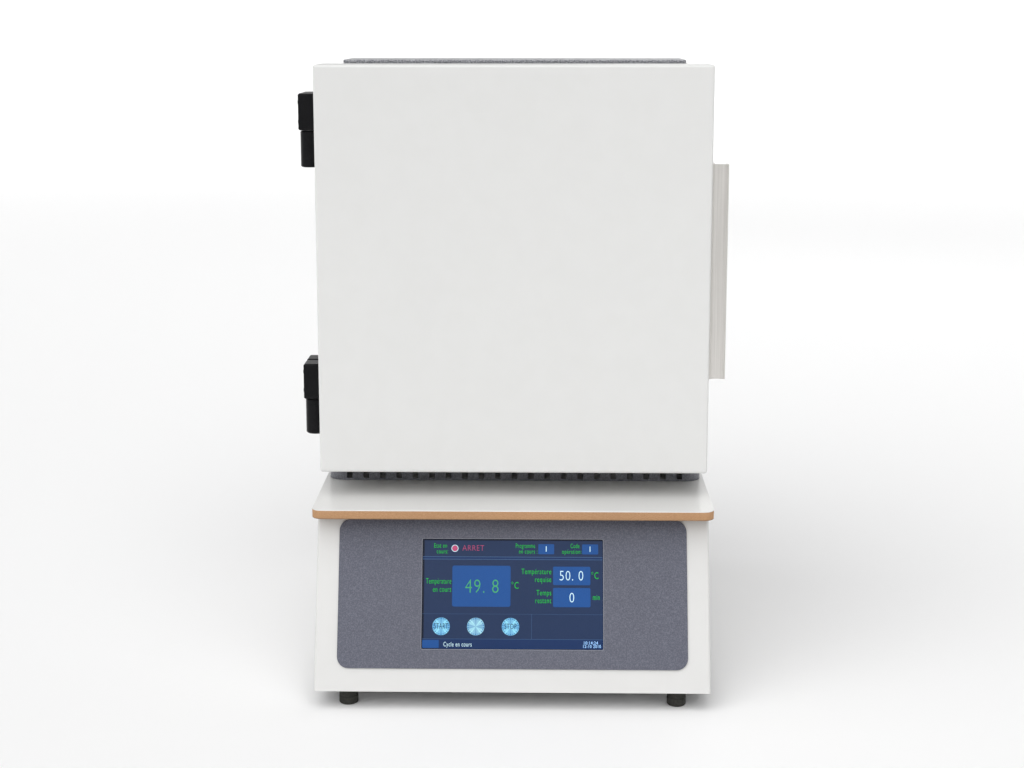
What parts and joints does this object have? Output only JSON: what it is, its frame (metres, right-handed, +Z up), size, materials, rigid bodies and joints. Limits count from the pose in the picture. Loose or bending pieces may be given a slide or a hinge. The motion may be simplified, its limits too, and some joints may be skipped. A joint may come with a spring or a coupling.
{
  "type": "dental lab furnace",
  "caption": "Bench-top dental furnace: insulated side-hinged door on a square chamber casing, set on a worktop board above a sloped control base with a touch screen.",
  "frame": {"origin": "middle of the furnace's outline, on the surface that its feet stand on", "axes": "+Z up, the door and the control panel face -Y, the door's handle is on the +X side and its hinges on the -X side"},
  "size_m": [0.4158, 0.476, 0.6135],
  "materials": {
    "white_powder_coat": "satin powder coat",
    "grey_hammertone": "hammertone enamel",
    "speckled_plate": "fine textured coat",
    "worktop_laminate": "pale laminate on fibreboard",
    "foot_rubber": "matte moulded rubber",
    "screen_glass": "clear cover glass over a lit display",
    "dark_plastic": "fine moulded texture",
    "hinge_black": "black enamel",
    "anodised_aluminium": "satin anodised",
    "plain_aluminium": "extruded",
    "plain_steel": "bare sheet",
    "fibre_insulation": "pressed ceramic fibre",
    "seal_rope": "woven fibre rope",
    "dense_ceramic": "fired matte",
    "heating_rod": "dark glazed rod",
    "aluminium_braid": "braided strap",
    "lead_sleeve": "matte silicone sleeve",
    "circuit_green": "solder mask",
    "copper_winding": "varnished copper wire",
    "core_iron": "varnished laminations"
  },
  "bodies": {
    "body": {"base_casing": "white_powder_coat", "base_rear_panel": "grey_hammertone", "casing_wrap": "grey_hammertone", "casing_top": "grey_hammertone", "top_vent_cover": "grey_hammertone", "casing_rear_panel": "grey_hammertone", "control_plate": "speckled_plate", "worktop_board": "worktop_laminate", "foot_front_left": "foot_rubber", "foot_front_right": "foot_rubber", "foot_rear_left": "foot_rubber", "foot_rear_right": "foot_rubber", "screen_glass": "screen_glass", "display_module": "dark_plastic", "catch_magnet": "dark_plastic", "door_sensor": "dark_plastic", "fan_frame": "dark_plastic", "mains_inlet": "dark_plastic", "switch_frame": "dark_plastic", "hinge_upper_body_leaf": "hinge_black", "hinge_lower_body_leaf": "hinge_black", "power_controller": "plain_aluminium", "base_floor": "plain_steel", "casing_floor": "plain_steel", "hinge_upper_pin": "plain_steel", "hinge_lower_pin": "plain_steel", "power_supply": "plain_steel", "fan_guard": "plain_steel", "insulation_floor": "fibre_insulation", "insulation_left": "fibre_insulation", "insulation_right": "fibre_insulation", "insulation_rear": "fibre_insulation", "insulation_roof": "fibre_insulation", "hearth_plate": "dense_ceramic", "element_carrier": "dense_ceramic", "thermocouple": "dense_ceramic", "heating_element_left_front": "heating_rod", "heating_element_left_rear": "heating_rod", "heating_element_right_front": "heating_rod", "heating_element_right_rear": "heating_rod", "element_strap_left": "aluminium_braid", "element_strap_right": "aluminium_braid", "element_strap_cross": "aluminium_braid", "power_lead_left": "lead_sleeve", "power_lead_right": "lead_sleeve", "controller_board": "circuit_green", "transformer_coil": "copper_winding", "transformer_core": "core_iron"},
    "door": {"door_shell": "white_powder_coat", "door_back_plate": "plain_steel", "door_insulation": "fibre_insulation", "door_seal": "seal_rope", "door_handle": "anodised_aluminium", "hinge_upper_door_leaf": "hinge_black", "hinge_lower_door_leaf": "hinge_black", "strike_plate": "plain_steel", "door_sensor_magnet": "dark_plastic"},
    "switch_rocker": {"switch_rocker": "dark_plastic"},
    "fan_rotor": {"fan_rotor": "dark_plastic"}
  },
  "joints": [
    {"name": "door_hinge", "type": "hinge", "parent": "body", "child": "door", "pos_m": [-0.1979, -0.11, 0.41165], "axis": [0, 0, -1], "range_deg": [0, 120]},
    {"name": "rocker_pivot", "type": "hinge", "parent": "body", "child": "switch_rocker", "pos_m": [-0.0959, 0.2318, 0.0985], "axis": [1, 0, 0], "range_deg": [0, 16]},
    {"name": "fan_spin", "type": "hinge", "parent": "body", "child": "fan_rotor", "pos_m": [0.1321, 0.216, 0.0985], "axis": [0, 1, 0], "continuous": true}
  ]
}
